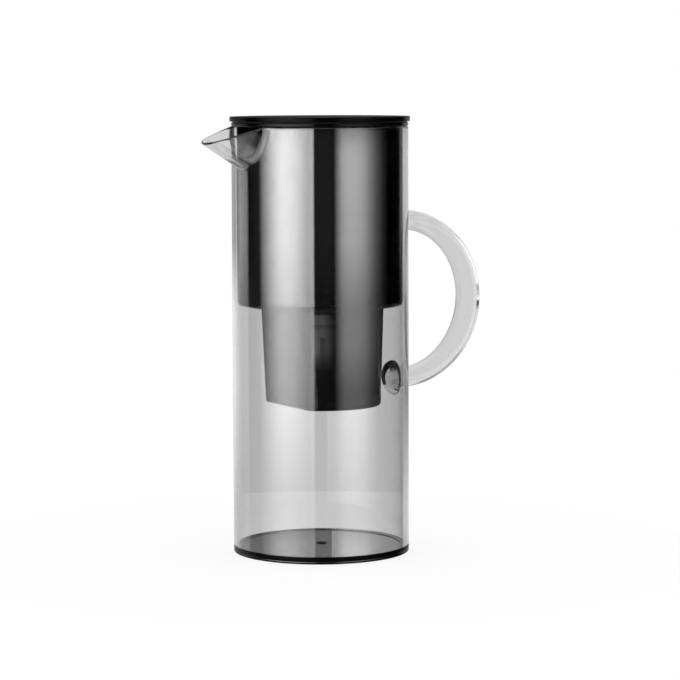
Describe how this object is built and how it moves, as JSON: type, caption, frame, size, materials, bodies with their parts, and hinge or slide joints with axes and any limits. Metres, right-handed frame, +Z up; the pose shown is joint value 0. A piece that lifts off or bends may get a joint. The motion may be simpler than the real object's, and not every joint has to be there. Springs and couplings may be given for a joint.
{
  "type": "water filter jug",
  "caption": "Tall round water jug with a drawn pouring lip, a half-ring handle, a lift-out hopper with a cup for a filter cartridge, and a flat lid.",
  "frame": {"origin": "on the jug's axis, at the plane that it stands on", "axes": "+Z up along the jug's axis, +X towards the handle, -X towards the spout"},
  "size_m": [0.2127, 0.1224, 0.2965],
  "materials": {
    "smoke_clear_plastic": "clear, smoke tinted, polished",
    "clear_plastic": "clear, polished",
    "dark_smoke_plastic": "dark smoke, polished",
    "smoke_cup_plastic": "dark smoke, satin inside",
    "cartridge_plastic": "moulded, satin",
    "soft_seal": "matte silicone",
    "pale_seal": "matte silicone, pale",
    "filter_mesh": "fine woven mesh",
    "filter_grains": "granular bed",
    "black_plastic": "moulded, satin gloss"
  },
  "bodies": {
    "jug": {"jug_body": "smoke_clear_plastic", "base_plate": "smoke_clear_plastic", "handle": "clear_plastic"},
    "hopper_unit": {"hopper": "dark_smoke_plastic", "filter_cup": "smoke_cup_plastic"},
    "cartridge": {"cartridge_shell": "cartridge_plastic", "cartridge_cap": "cartridge_plastic", "cartridge_lip_seal": "pale_seal", "inlet_mesh": "filter_mesh", "outlet_mesh": "filter_mesh", "filter_media": "filter_grains"},
    "lid_unit": {"lid": "black_plastic", "lid_seal": "soft_seal"}
  },
  "joints": [
    {"name": "hopper_lift", "type": "slide", "parent": "jug", "child": "hopper_unit", "axis": [0, 0, 1], "range_m": [0, 0.2]},
    {"name": "cartridge_lift", "type": "slide", "parent": "hopper_unit", "child": "cartridge", "axis": [0, 0, 1], "range_m": [0, 0.17]},
    {"name": "lid_lift", "type": "slide", "parent": "cartridge", "child": "lid_unit", "axis": [0, 0, 1], "range_m": [0, 0.05]}
  ]
}
